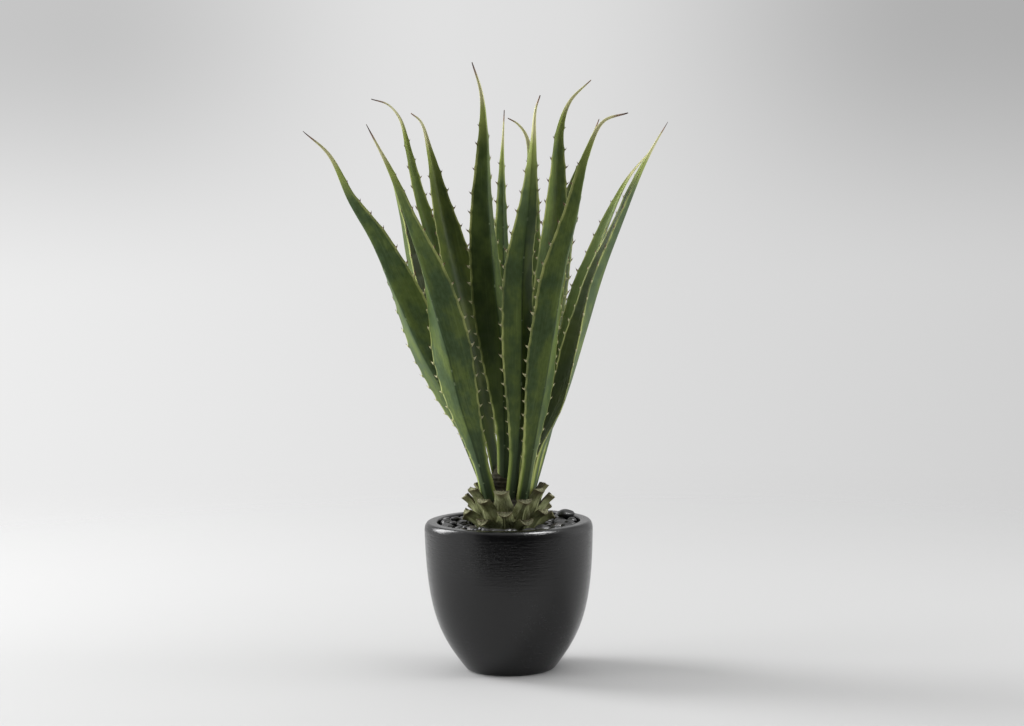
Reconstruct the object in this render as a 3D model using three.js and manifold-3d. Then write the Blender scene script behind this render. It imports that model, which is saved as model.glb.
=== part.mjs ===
import * as THREE from 'three';
import { mergeVertices } from 'three/addons/utils/BufferGeometryUtils.js';
import Module from 'manifold-3d';

// A potted agave, in millimetres, +Z up. The origin is the middle of the pot's flat foot,
// and the side seen first faces -Y. An azimuth is an angle in degrees from +X towards +Y.

// Gap kept between pieces that touch.
const FIT = 0.3;
// Slack between the trunk and the plain hole in the soil and gravel that it stands in.
const HOLE_SLACK = 1;

// Pot: a turned bowl whose outer wall is one Bezier curve from the foot to the rim.
const POT_HEIGHT = 268;
const RIM_RADIUS = 151;
const RIM_INNER_RADIUS = 128;
const RIM_ROUNDING = 5;
const LIP_CHAMFER = 3;
const FOOT_RADIUS = 75;
const FOOT_ROUNDING = 3;
const WALL_LOW_PULL = new THREE.Vector2(128, 62.5);
const WALL_HIGH_PULL = new THREE.Vector2(148, 105);
const WALL_THICKNESS = 17;
const WALL_STEPS = 9;
const POT_FLOOR = 16;
const POT_SIDES = 40;
// Heights between floor and rim at which the inner wall and the soil against it have corners.
const INNER_LEVELS = [50, 110, 200];
// The filling has half as many sides, so that its corners meet every second corner of the wall.
const FILLING_SIDES = POT_SIDES / 2;

// Planting mix, and the gravel on top of it, which rises from the trunk to the pot's wall.
const SOIL_TOP = 238;
const GRAVEL_TOP = { inner: 252, outer: 262 };
// River stones in the gravel, in rings about the trunk, and one that lies on top of the others.
const STONE_RINGS = [
  { radius: 64, count: 9, size: 9, z: 252 },
  { radius: 84, count: 11, size: 11.5, z: 256 },
  { radius: 104, count: 14, size: 12.5, z: 262 },
  { radius: 117, count: 12, size: 10, z: 262 },
];
const TOP_STONE = { radius: 112, azimuth: 20, size: 13, z: 271 };
const STONES_TOP = 290;
const STONE_SEED = 11;
const STONE_SIDES = 6;
const STONE_BANDS = 4;
// Smallest and largest half-length, half-breadth and half-height, as shares of the size.
const STONE_LENGTH = [0.95, 1.3];
const STONE_BREADTH = [0.75, 0.95];
const STONE_HEIGHT = [0.55, 0.75];
const STONE_TIP = [-10, 10];
// How far a stone's middle stands off its ring, up and outward.
const STONE_LIFT = [-1, 2];
const STONE_SCATTER = [-2.5, 2.5];

// Trunk: a short woody core with rows of cut leaf bases. The outline's points are [radius, z].
const CORE_BOTTOM = 214;
const CORE_RADIUS = 46;
const CORE_OUTLINE = [[CORE_RADIUS, 256], [51, 292], [49, 304], [41, 324], [33, 344], [20, 366],
  [0, 370]];
const CORE_SIDES = 24;
const STUB_COLUMNS = 6;
const STUB_ROWS = [
  { z: 266, turn: 33, reach: 36, rise: 12 },
  { z: 270, turn: 0, reach: 36, rise: 22 },
  { z: 285, turn: 33, reach: 33, rise: 28 },
  { z: 298, turn: 0, reach: 27, rise: 32 },
];
const STUB_FIRST_AZIMUTH = 263;
const STUB_WIDTH = 27;
const STUB_THICKNESS = 13;
const STUB_FOLD = 0.3;
const STUB_MARGIN = 4;
const STUB_ROOT_DEPTH = 8;
const STUB_ROOT_DROP = 4;
// Where along its reach and its rise a stub bends upward.
const STUB_BEND = { reach: 0.45, rise: 0.4 };
// Share of its length, of its width and of its thickness at each station of a stub.
const STUB_SHAPE = [[0, 1.6, 1.2], [0.5, 1.15, 1], [1, 1.05, 0.8]];

// Leaves: each grows along a curve through its points, root first. The keel of its outer
// face looks towards these azimuths, evenly spaced from the root to the tip.
const LEAVES = [
  { width: 76, keel: [236, 246, 232, 208, 205], spine: [
    [-35, -14, 306], [-63, -30, 417], [-96, -42, 490], [-139, -62, 577], [-183, -86, 688],
    [-221, -102, 776], [-262, -112, 846], [-299, -122, 924], [-342, -130, 965]] },
  { width: 72, keel: [250, 255, 256, 222, 208, 205], spine: [
    [-31, -30, 298], [-50, -54, 384], [-80, -86, 494], [-101, -114, 601], [-125, -142, 707],
    [-159, -172, 811], [-191, -194, 896], [-228, -215, 973]] },
  { width: 46, keel: [125, 135], spine: [
    [-31, 30, 298], [-67, 76, 478], [-97, 116, 622], [-122, 138, 732], [-153, 152, 837],
    [-175, 161, 934], [-189, 165, 992], [-210, 168, 1018], [-241, 170, 1029]] },
  { width: 68, keel: [125, 112], spine: [
    [-16, 14, 335], [-35, 42, 427], [-60, 82, 587], [-88, 108, 714], [-114, 124, 827],
    [-134, 134, 930], [-149, 138, 985], [-167, 140, 1001]] },
  { width: 67, keel: [262, 290, 306, 312, 300], spine: [
    [-5, -20, 335], [-6, -38, 452], [-13, -64, 582], [-26, -86, 703], [-33, -102, 842],
    [-30, -112, 963], [-35, -114, 1028], [-50, -116, 1079]] },
  { width: 34, keel: [290, 290], spine: [
    [-2, 2, 350], [-5, 12, 519], [-4, 20, 662], [-3, 26, 805], [-1, 30, 912], [4, 32, 1001]] },
  { width: 56, keel: [84, 88], spine: [
    [6, 34, 306], [21, 85, 476], [34, 128, 620], [46, 162, 765], [53, 182, 876], [44, 195, 957],
    [28, 198, 980], [10, 200, 991]] },
  { width: 58, keel: [285, 292, 293, 292, 291, 290, 275, 264, 262], spine: [
    [6, -36, 304], [18, -60, 419], [22, -76, 491], [24, -103, 598], [28, -138, 721],
    [44, -172, 841], [52, -196, 934], [57, -208, 993], [65, -214, 1017]] },
  { width: 56, keel: [60, 85, 100, 115], spine: [
    [17, 15, 335], [50, 64, 505], [74, 92, 639], [90, 110, 766], [98, 120, 875], [105, 126, 969],
    [124, 128, 1018], [163, 130, 1056]] },
  { width: 60, keel: [58, 62], spine: [
    [24, 37, 298], [54, 98, 475], [84, 142, 618], [111, 178, 764], [132, 198, 865],
    [154, 208, 921], [180, 218, 987]] },
  { width: 65, keel: [295, 298, 316, 317, 312], spine: [
    [25, -37, 298], [42, -64, 401], [60, -94, 510], [74, -119, 607], [93, -149, 721],
    [120, -175, 823], [145, -201, 921], [172, -214, 972], [212, -222, 985]] },
  { width: 58, keel: [17, 35], spine: [
    [37, 12, 303], [64, 26, 391], [85, 44, 470], [122, 78, 612], [164, 112, 737],
    [198, 138, 817], [231, 160, 877], [272, 175, 926]] },
  { width: 66, keel: [360, 388, 374, 370, 370], spine: [
    [36, -17, 303], [57, -30, 397], [93, -38, 486], [131, -34, 610], [164, -22, 711],
    [208, -6, 811], [247, 8, 894], [273, 16, 940], [295, 24, 975]] },
  { width: 56, keel: [163, 160], spine: [
    [-34, 13, 306], [-93, 33, 464], [-133, 54, 608], [-167, 74, 731], [-183, 84, 816],
    [-205, 90, 898], [-233, 92, 952]] },
];

// Blade section along a leaf: share of the full width, thickness in mm, and the angle in
// degrees by which each half folds up from the flat.
const BLADE_WIDTH = [[0, 0.4], [0.12, 0.37], [0.2, 0.57], [0.3, 0.87], [0.4, 1], [0.5, 0.98],
  [0.58, 0.9], [0.68, 0.69], [0.78, 0.43], [0.88, 0.18], [0.93, 0.09], [0.97, 0.05], [1, 0.015]];
const BLADE_THICKNESS = [[0, 11], [0.12, 10], [0.3, 7], [0.6, 5], [0.9, 3.4], [0.96, 2.8], [1, 0.8]];
const BLADE_FOLD = [[0, 20], [0.3, 30], [0.6, 35], [0.9, 35], [1, 12]];
const BLADE_STATIONS = [0, 0.12, 0.2, 0.28, 0.37, 0.47, 0.56, 0.65, 0.74, 0.82, 0.89, 0.95, 1];
const SOCKET_STATIONS = 2;
const MARGIN_THICKNESS = 1.6;
// How far the outer face swells half way from keel to margin, as a share of half the thickness.
const FACE_SWELL = 0.9;
// Corners on the outer face of a blade's section, and of a stub's.
const BLADE_OUTER_CORNERS = 5;
const STUB_OUTER_CORNERS = 3;
// Corners of a blade's section that face each other, outer first, at its margins and keel.
const SECTION_PAIRS = { left: [0, 7], keel: [2, 6], right: [4, 5] };

// Teeth on both margins of a leaf, hooked towards its tip.
const TOOTH_LENGTH = 8;
const TOOTH_BASE = 7;
const TOOTH_ROOT = 2;
const TOOTH_THICKNESS = 1.4;
const TOOTH_RISE = 40;
const TOOTH_PITCH = 50;
const TEETH_FROM = 0.13;
const TEETH_TO = 0.86;

const wasm = await Module();
wasm.setup();

const radians = THREE.MathUtils.degToRad;

function material(color, roughness) {
  return new THREE.MeshStandardMaterial({ color, roughness, metalness: 0 });
}

// A repeatable stream of numbers from 0 to 1.
function randomStream(seed) {
  let state = seed;
  return () => {
    state = (Math.imul(state, 1664525) + 1013904223) >>> 0;
    return state / 4294967296;
  };
}

// A draw between the two ends of a range.
function drawn(random, [low, high]) {
  return THREE.MathUtils.lerp(low, high, random());
}

// The value at t on straight lines between [t, value] pairs.
function along(pairs, t) {
  const next = Math.max(1, pairs.findIndex(([at]) => at >= t));
  const [t0, v0] = pairs[next - 1];
  const [t1, v1] = pairs[next];
  return THREE.MathUtils.lerp(v0, v1, (t - t0) / (t1 - t0));
}

// The level direction of an azimuth.
function towards(azimuth) {
  return new THREE.Vector3(Math.cos(radians(azimuth)), Math.sin(radians(azimuth)), 0);
}

// A closed geometry as a manifold solid: shared corners merged, slivers of no area dropped.
function solidOf(geometry) {
  const bare = geometry.clone();
  bare.deleteAttribute('normal');
  bare.deleteAttribute('uv');
  const merged = mergeVertices(bare, 1e-4);
  const corners = Array.from(merged.index.array);
  const kept = [];
  for (let i = 0; i < corners.length; i += 3) {
    const [a, b, c] = corners.slice(i, i + 3);
    if (a !== b && b !== c && c !== a) kept.push(a, b, c);
  }
  return new wasm.Manifold(new wasm.Mesh({
    numProp: 3,
    vertProperties: new Float32Array(merged.attributes.position.array),
    triVerts: new Uint32Array(kept),
  }));
}

function geometryOf(solid) {
  const { vertProperties, triVerts } = solid.getMesh();
  const geometry = new THREE.BufferGeometry();
  geometry.setAttribute('position', new THREE.BufferAttribute(new Float32Array(vertProperties), 3));
  geometry.setIndex(new THREE.BufferAttribute(new Uint32Array(triVerts), 1));
  geometry.computeVertexNormals();
  return geometry;
}

function mesh(name, geometry, look) {
  const piece = new THREE.Mesh(geometry, look);
  piece.name = name;
  return piece;
}

// A profile of [radius, z] points turned about the Z axis.
function turned(profile, sides) {
  const points = profile.map(([radius, z]) => new THREE.Vector2(radius, z));
  return new THREE.LatheGeometry(points, sides).rotateX(Math.PI / 2);
}

// ---------------------------------------------------------------- pot and filling

// The outer wall's curve, from the foot's rounding to the rim's.
function outerWall() {
  return new THREE.CubicBezierCurve(
    new THREE.Vector2(FOOT_RADIUS + FOOT_ROUNDING, 0),
    WALL_LOW_PULL,
    WALL_HIGH_PULL,
    new THREE.Vector2(RIM_RADIUS, POT_HEIGHT - RIM_ROUNDING),
  );
}

// Radius of the inner wall at height z: near the outer wall, and never wider than the mouth.
function innerRadius(z) {
  const wall = outerWall().getPoints(60);
  const above = Math.max(1, wall.findIndex((point) => point.y >= z));
  const [low, high] = [wall[above - 1], wall[above]];
  const outer = THREE.MathUtils.lerp(low.x, high.x, (z - low.y) / (high.y - low.y));
  return Math.min(RIM_INNER_RADIUS, outer - WALL_THICKNESS);
}

function pot() {
  const wall = outerWall().getPoints(WALL_STEPS).map((point) => [point.x, point.y]);
  wall[0] = [FOOT_RADIUS + FOOT_ROUNDING * 0.8, FOOT_ROUNDING * 0.5];
  const rim = [45, 90].map((angle) => [
    RIM_RADIUS - RIM_ROUNDING + RIM_ROUNDING * Math.cos(radians(angle)),
    POT_HEIGHT - RIM_ROUNDING + RIM_ROUNDING * Math.sin(radians(angle)),
  ]);
  const inside = [POT_FLOOR, ...INNER_LEVELS, POT_HEIGHT - LIP_CHAMFER]
    .map((z) => [innerRadius(z), z])
    .reverse();
  const profile = [
    [0, 0], [FOOT_RADIUS, 0], ...wall, ...rim,
    [RIM_INNER_RADIUS + LIP_CHAMFER, POT_HEIGHT], ...inside, [0, POT_FLOOR],
  ];
  return mesh('pot', turned(profile, POT_SIDES), material(0x1b1b1c, 0.32));
}

function soil() {
  const hole = CORE_RADIUS + HOLE_SLACK;
  const wall = [POT_FLOOR + FIT, ...INNER_LEVELS, SOIL_TOP].map((z) => [innerRadius(z) - FIT, z]);
  const profile = [
    [0, POT_FLOOR + FIT], ...wall, [hole, SOIL_TOP], [hole, CORE_BOTTOM - FIT], [0, CORE_BOTTOM - FIT],
  ];
  return mesh('soil', turned(profile, FILLING_SIDES), material(0x2a221b, 0.95));
}

// One river stone: a flattened ball, turned and tipped a little.
function riverStone({ radius, azimuth, size, z }, random) {
  const stone = new THREE.SphereGeometry(size, STONE_SIDES, STONE_BANDS);
  stone.scale(
    drawn(random, STONE_LENGTH),
    drawn(random, STONE_BREADTH),
    drawn(random, STONE_HEIGHT),
  );
  stone.rotateX(radians(drawn(random, STONE_TIP)));
  stone.rotateZ(2 * Math.PI * random());
  const place = towards(azimuth).multiplyScalar(radius);
  return stone.translate(place.x, place.y, z);
}

// Gravel with the stones half sunk in it, cut back to the room between trunk and pot.
function pebbles() {
  const random = randomStream(STONE_SEED);
  const inner = CORE_RADIUS + HOLE_SLACK;
  const outer = RIM_INNER_RADIUS - FIT;
  const low = SOIL_TOP + FIT;
  const room = (top) => solidOf(turned([
    [inner, low], [outer, low], [outer, top.outer], [inner, top.inner], [inner, low],
  ], FILLING_SIDES));
  let bed = room(GRAVEL_TOP).add(solidOf(riverStone(TOP_STONE, random)));
  for (const { radius, count, size, z } of STONE_RINGS) {
    for (let i = 0; i < count; i += 1) {
      const stone = riverStone({
        radius: radius + drawn(random, STONE_SCATTER),
        azimuth: (i + 0.5 * random()) * 360 / count,
        size,
        z: z + drawn(random, STONE_LIFT),
      }, random);
      bed = bed.add(solidOf(stone));
    }
  }
  bed = bed.intersect(room({ inner: STONES_TOP, outer: STONES_TOP }));
  return mesh('pebbles', geometryOf(bed), material(0x3a3a3b, 0.6));
}

// ---------------------------------------------------------------- leaves

function spineOf(leaf) {
  const points = leaf.spine.map((point) => new THREE.Vector3(...point));
  return new THREE.CatmullRomCurve3(points, false, 'centripetal');
}

// The azimuth that the keel looks towards at share t of a leaf.
function keelAzimuth({ keel }, t) {
  const at = t * (keel.length - 1);
  const first = Math.min(Math.floor(at), keel.length - 2);
  return THREE.MathUtils.lerp(keel[first], keel[first + 1], at - first);
}

// Place, tangent, side and outward directions at share t of a leaf.
function frameAt(leaf, t) {
  const curve = spineOf(leaf);
  const place = curve.getPointAt(t);
  const tangent = curve.getTangentAt(t);
  const outward = towards(keelAzimuth(leaf, t));
  outward.addScaledVector(tangent, -outward.dot(tangent)).normalize();
  const side = new THREE.Vector3().crossVectors(tangent, outward);
  return { place, tangent, side, outward };
}

// Half-width, fold depth, half-thickness and half-margin of a leaf at t.
function sizesAt(leaf, t, grow) {
  const half = leaf.width * along(BLADE_WIDTH, t) / 2;
  const thick = along(BLADE_THICKNESS, t) / 2;
  return {
    half: half + grow,
    depth: half * Math.tan(radians(along(BLADE_FOLD, t))),
    thick: thick + grow,
    margin: Math.min(MARGIN_THICKNESS / 2, thick * 0.5) + grow,
  };
}

// The corners of a folded blade's section, as [side, outward] pairs: the outer face from
// the left margin to the right, then the inner face back again.
function bladeSection({ half, depth, thick, margin }) {
  const lift = -depth / 2;
  return {
    outer: [
      [-half, lift + margin], [-half / 2, thick * FACE_SWELL], [0, depth / 2 + thick],
      [half / 2, thick * FACE_SWELL], [half, lift + margin]],
    inner: [[half, lift - margin], [0, depth / 2 - thick], [-half, lift - margin]],
  };
}

// Triangles between two rows of corner numbers that run side by side.
function ladder(rowA, rowB) {
  const triangles = [];
  let [a, b] = [0, 0];
  while (a + 1 < rowA.length || b + 1 < rowB.length) {
    const stepA = (a + 1) / (rowA.length - 1) <= (b + 1) / (rowB.length - 1);
    triangles.push(stepA ? [rowA[a], rowA[a + 1], rowB[b]] : [rowA[a], rowB[b + 1], rowB[b]]);
    if (stepA) a += 1;
    else b += 1;
  }
  return triangles;
}

// A closed skin over rings of corners, with flat ends; outerCount of each ring's corners
// lie on its outer face.
function skin(rings, outerCount) {
  const size = rings[0].length;
  const position = rings.flat().flatMap((corner) => corner.toArray());
  const index = [];
  for (let i = 0; i + 1 < rings.length; i += 1) {
    for (let j = 0; j < size; j += 1) {
      const a = i * size + j;
      const b = i * size + (j + 1) % size;
      index.push(a, b, a + size, b, b + size, a + size);
    }
  }
  const last = (rings.length - 1) * size;
  const numbers = [...Array(size).keys()];
  const cap = ladder(numbers.slice(0, outerCount), numbers.slice(outerCount).reverse());
  for (const [a, b, c] of cap) {
    index.push(a, c, b);
    index.push(last + a, last + b, last + c);
  }
  const geometry = new THREE.BufferGeometry();
  geometry.setAttribute('position', new THREE.Float32BufferAttribute(position, 3));
  geometry.setIndex(index);
  return geometry;
}

// A section's corners set out in space.
function ring({ place, side, outward }, { outer, inner }) {
  return [...outer, ...inner].map(([across, out]) => (
    place.clone().addScaledVector(side, across).addScaledVector(outward, out)));
}

function ringAt(leaf, t, grow) {
  return ring(frameAt(leaf, t), bladeSection(sizesAt(leaf, t, grow)));
}

function blade(leaf) {
  const rings = BLADE_STATIONS.map((t) => ringAt(leaf, t, 0));
  return solidOf(skin(rings, BLADE_OUTER_CORNERS));
}

// The lowest part of a leaf, larger all round by the fitting gap.
function socket(leaf) {
  const rings = BLADE_STATIONS.slice(0, SOCKET_STATIONS).map((t) => ringAt(leaf, t, FIT));
  const { tangent } = frameAt(leaf, 0);
  rings[0].forEach((corner) => corner.addScaledVector(tangent, -FIT));
  return solidOf(skin(rings, BLADE_OUTER_CORNERS));
}

// Where one margin of the faceted blade runs at t: a point on it, and the directions along
// it, outward across the blade, and square to the blade. hand is -1 or 1 for the two margins.
function marginAt(leaf, t, hand) {
  const above = BLADE_STATIONS.findIndex((at) => at > t);
  const [t0, t1] = [BLADE_STATIONS[above - 1], BLADE_STATIONS[above]];
  const [low, high] = [ringAt(leaf, t0, 0), ringAt(leaf, t1, 0)];
  const middle = (corners, [a, b]) => corners[a].clone().lerp(corners[b], 0.5);
  const edge = hand < 0 ? SECTION_PAIRS.left : SECTION_PAIRS.right;
  const share = (t - t0) / (t1 - t0);
  const point = middle(low, edge).lerp(middle(high, edge), share);
  const keel = middle(low, SECTION_PAIRS.keel).lerp(middle(high, SECTION_PAIRS.keel), share);
  const up = middle(high, edge).sub(middle(low, edge)).normalize();
  const across = point.clone().sub(keel).normalize();
  const face = new THREE.Vector3().crossVectors(up, across).normalize();
  return { point, up, across, face };
}

// One hooked tooth on a margin: a slim pyramid whose foot is sunk in the blade.
function tooth(leaf, t, hand) {
  const { point, up, across, face } = marginAt(leaf, t, hand);
  const at = (rise, reach, aside) => point.clone()
    .addScaledVector(up, rise).addScaledVector(across, reach).addScaledVector(face, aside);
  const lean = radians(TOOTH_RISE);
  const corners = [
    at(-TOOTH_BASE / 2, -TOOTH_ROOT, 0),
    at(TOOTH_BASE / 2, -TOOTH_ROOT, TOOTH_THICKNESS / 2),
    at(TOOTH_BASE / 2, -TOOTH_ROOT, -TOOTH_THICKNESS / 2),
    at(TOOTH_LENGTH * Math.sin(lean), TOOTH_LENGTH * Math.cos(lean), 0),
  ];
  const position = corners.flatMap((corner) => corner.toArray());
  const geometry = new THREE.BufferGeometry();
  geometry.setAttribute('position', new THREE.Float32BufferAttribute(position, 3));
  geometry.setIndex([0, 2, 1, 0, 1, 3, 1, 2, 3, 2, 0, 3]);
  return solidOf(geometry);
}

function leafPiece(leaf, number) {
  const step = TOOTH_PITCH / spineOf(leaf).getLength();
  let body = blade(leaf);
  for (let t = TEETH_FROM; t < TEETH_TO; t += step) {
    body = body.add(tooth(leaf, t, -1));
    body = body.add(tooth(leaf, t + step / 2, 1));
  }
  const name = `leaf_${String(number).padStart(2, '0')}`;
  return mesh(name, geometryOf(body), material(0x4c6b45, 0.55));
}

// ---------------------------------------------------------------- trunk

function core() {
  const profile = [[0, CORE_BOTTOM], [CORE_RADIUS, CORE_BOTTOM], ...CORE_OUTLINE];
  return solidOf(turned(profile, CORE_SIDES));
}

// One cut leaf base: a short thick scoop that leaves the core and flares outward.
function stub(row, azimuth) {
  const out = towards(azimuth);
  const at = (radius, z) => out.clone().multiplyScalar(radius).setZ(z).toArray();
  const scoop = {
    keel: [azimuth, azimuth],
    spine: [
      at(CORE_RADIUS - STUB_ROOT_DEPTH, row.z - STUB_ROOT_DROP),
      at(CORE_RADIUS + row.reach * STUB_BEND.reach, row.z + row.rise * STUB_BEND.rise),
      at(CORE_RADIUS + row.reach, row.z + row.rise),
    ],
  };
  const rings = STUB_SHAPE.map(([t, wide, thick]) => {
    const half = STUB_WIDTH * wide / 2;
    const lift = -half * STUB_FOLD / 2;
    const deep = STUB_THICKNESS * thick / 2;
    const margin = STUB_MARGIN / 2;
    return ring(frameAt(scoop, t), {
      outer: [[-half, lift + margin], [0, deep - lift], [half, lift + margin]],
      inner: [[half, lift - margin], [0, -deep - lift], [-half, lift - margin]],
    });
  });
  return solidOf(skin(rings, STUB_OUTER_CORNERS));
}

function trunk() {
  let body = core();
  for (const row of STUB_ROWS) {
    for (let i = 0; i < STUB_COLUMNS; i += 1) {
      body = body.add(stub(row, STUB_FIRST_AZIMUTH + row.turn + i * 360 / STUB_COLUMNS));
    }
  }
  for (const leaf of LEAVES) {
    body = body.subtract(socket(leaf));
  }
  return mesh('trunk', geometryOf(body), material(0x5d5a3c, 0.85));
}

const agave = new THREE.Group();
agave.add(pot(), soil(), pebbles(), trunk());
LEAVES.forEach((leaf, i) => agave.add(leafPiece(leaf, i + 1)));

export default agave;
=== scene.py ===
"""Looks for a potted agave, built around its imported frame. Metres, +Z up; the seen side faces -Y."""
import random
from math import cos, hypot, pi, radians, sin, sqrt

import bmesh
import bpy
import numpy as np
from mathutils import Matrix, Vector, noise


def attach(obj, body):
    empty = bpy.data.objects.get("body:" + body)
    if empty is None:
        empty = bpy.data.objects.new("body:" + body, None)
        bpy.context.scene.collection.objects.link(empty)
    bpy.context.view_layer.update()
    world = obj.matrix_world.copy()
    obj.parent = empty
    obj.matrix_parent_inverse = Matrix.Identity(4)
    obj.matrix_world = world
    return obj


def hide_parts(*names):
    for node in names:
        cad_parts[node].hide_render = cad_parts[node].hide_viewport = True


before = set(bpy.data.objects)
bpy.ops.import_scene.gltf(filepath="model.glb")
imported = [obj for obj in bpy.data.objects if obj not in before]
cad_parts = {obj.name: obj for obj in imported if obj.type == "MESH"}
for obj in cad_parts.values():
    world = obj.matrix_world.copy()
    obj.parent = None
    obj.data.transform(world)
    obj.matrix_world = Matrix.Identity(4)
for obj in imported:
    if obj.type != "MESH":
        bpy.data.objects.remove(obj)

MM = 0.001
BODY = "root"

# -------- sizes, in millimetres

POT_HEIGHT = 268
RIM_RADIUS = 151
RIM_INNER_RADIUS = 128
# Breadth and height that the rim's outer edge is rounded over.
RIM_ROUNDING = (8, 15)
LIP_ROUNDING = 3
FOOT_RADIUS = 75
FOOT_ROUNDING = 3
# The outside curves from foot to rim, pulled towards these two points.
WALL_LOW_PULL = (128, 62.5)
WALL_HIGH_PULL = (148, 105)
WALL_THICKNESS = 17
POT_FLOOR = 16
POT_SIDES = 144
# Points along each stretch of the pot's outline.
POT_STEPS = dict(wall=60, rim=12, lip=7, inside=24)

SOIL_TOP = 238
HOLE_RADIUS = 47
# At the hole for the trunk and at the wall: the gravel bed's top, and the ground under the stones.
BED_TOP = (247, 249)
HEAP_GROUND = (246, 248)
HEAP_STEP = 1.5

# River stones: how many, places tried for each, half-lengths, breadth and height as shares of the
# length, and how many degrees they tip by at most.
STONES = 230
STONE_TRIES = 90
STONE_HALF = (6.5, 18)
STONE_BREADTH = (0.65, 0.92)
STONE_HEIGHT = (0.48, 0.68)
STONE_TIP = 9
# How lumpy stones are, how many flats they have, and how far from the unit form's middle.
STONE_LUMPS = 0.13
STONE_FLATS = 7
FLAT_DEPTH = (0.72, 0.92)
# The highest that stones may stand, as (distance from the middle, height) pairs.
STONE_CEILING = [(60, 256), (88, 264), (100, 271)]
STONES_FROM = 57
# The one stone that lies on top of the others.
TOP_STONE = dict(x=104, y=39, half=(16.5, 13, 8), turn=200, sunk=6)
# Bits of gravel between the stones: half-lengths, and length, breadth and height as shares.
GRAVEL_BITS = 420
GRAVEL_HALF = (1.4, 3.4)
GRAVEL_SHAPE = (1, 0.8, 0.65)
GRAVEL_LUMPS = 0.3
GRAVEL_CEILING = 266
GRAVEL_FROM = 56

# The woody core as (radius, height) pairs, from under the soil's top to its end among the leaves.
CORE_OUTLINE = [(46, 214), (46, 256), (51, 292), (49, 304), (41, 324), (33, 344), (20, 366), (4, 370)]
CORE_RADIUS = 46
CORE_SIDES = 120
CORE_STEPS = 90
SCAR_PITCH = 6.5
# Cut leaf bases, the lowest row first: height, turn past the first azimuth, reach and rise.
STUB_COLUMNS = 6
STUB_ROWS = [
    dict(z=266, turn=33, reach=36, rise=12),
    dict(z=270, turn=0, reach=36, rise=22),
    dict(z=285, turn=33, reach=33, rise=28),
    dict(z=298, turn=0, reach=27, rise=32),
]
STUB_FIRST_AZIMUTH = 263
# Along a cut leaf base: half width, rise of its outer and inner faces, and sag of its margins.
STUB_HALF = [(0, 23), (0.25, 22.5), (0.42, 19), (0.6, 14.5), (0.82, 12.6), (1, 14)]
STUB_OUTER = [(0, 1.6), (0.2, 3.2), (0.5, 6), (0.85, 6.2), (1, 7.6)]
STUB_INNER = [(0, 1.2), (0.3, 1.6), (1, 1)]
STUB_SAG = [(0, 5.2), (0.3, 5.5), (0.6, 4.2), (1, 4)]
# Along it too: how high its ridges and its keel stand, as shares.
RIDGE_FADE = [(0, 1.6), (0.15, 1.2), (0.7, 0.6), (1, 0.5)]
STUB_KEEL_FADE = [(0, 0.3), (0.4, 1), (1, 0.4)]
# Sets of ridges across it, as (closeness, height) pairs.
RIDGES = ((11, 0.5), (23, 0.45), (41, 0.4))
STUB_RINGS = 26
STUB_POINTS = 33
# Rings that close the cut end: share of thickness, share of width, depth, and look of a cut face.
CUT_RINGS = [(0.8, 0.97, -0.25, 0.5), (0.55, 0.92, 0.5, 0.8), (0.2, 0.85, 1, 1)]

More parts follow.
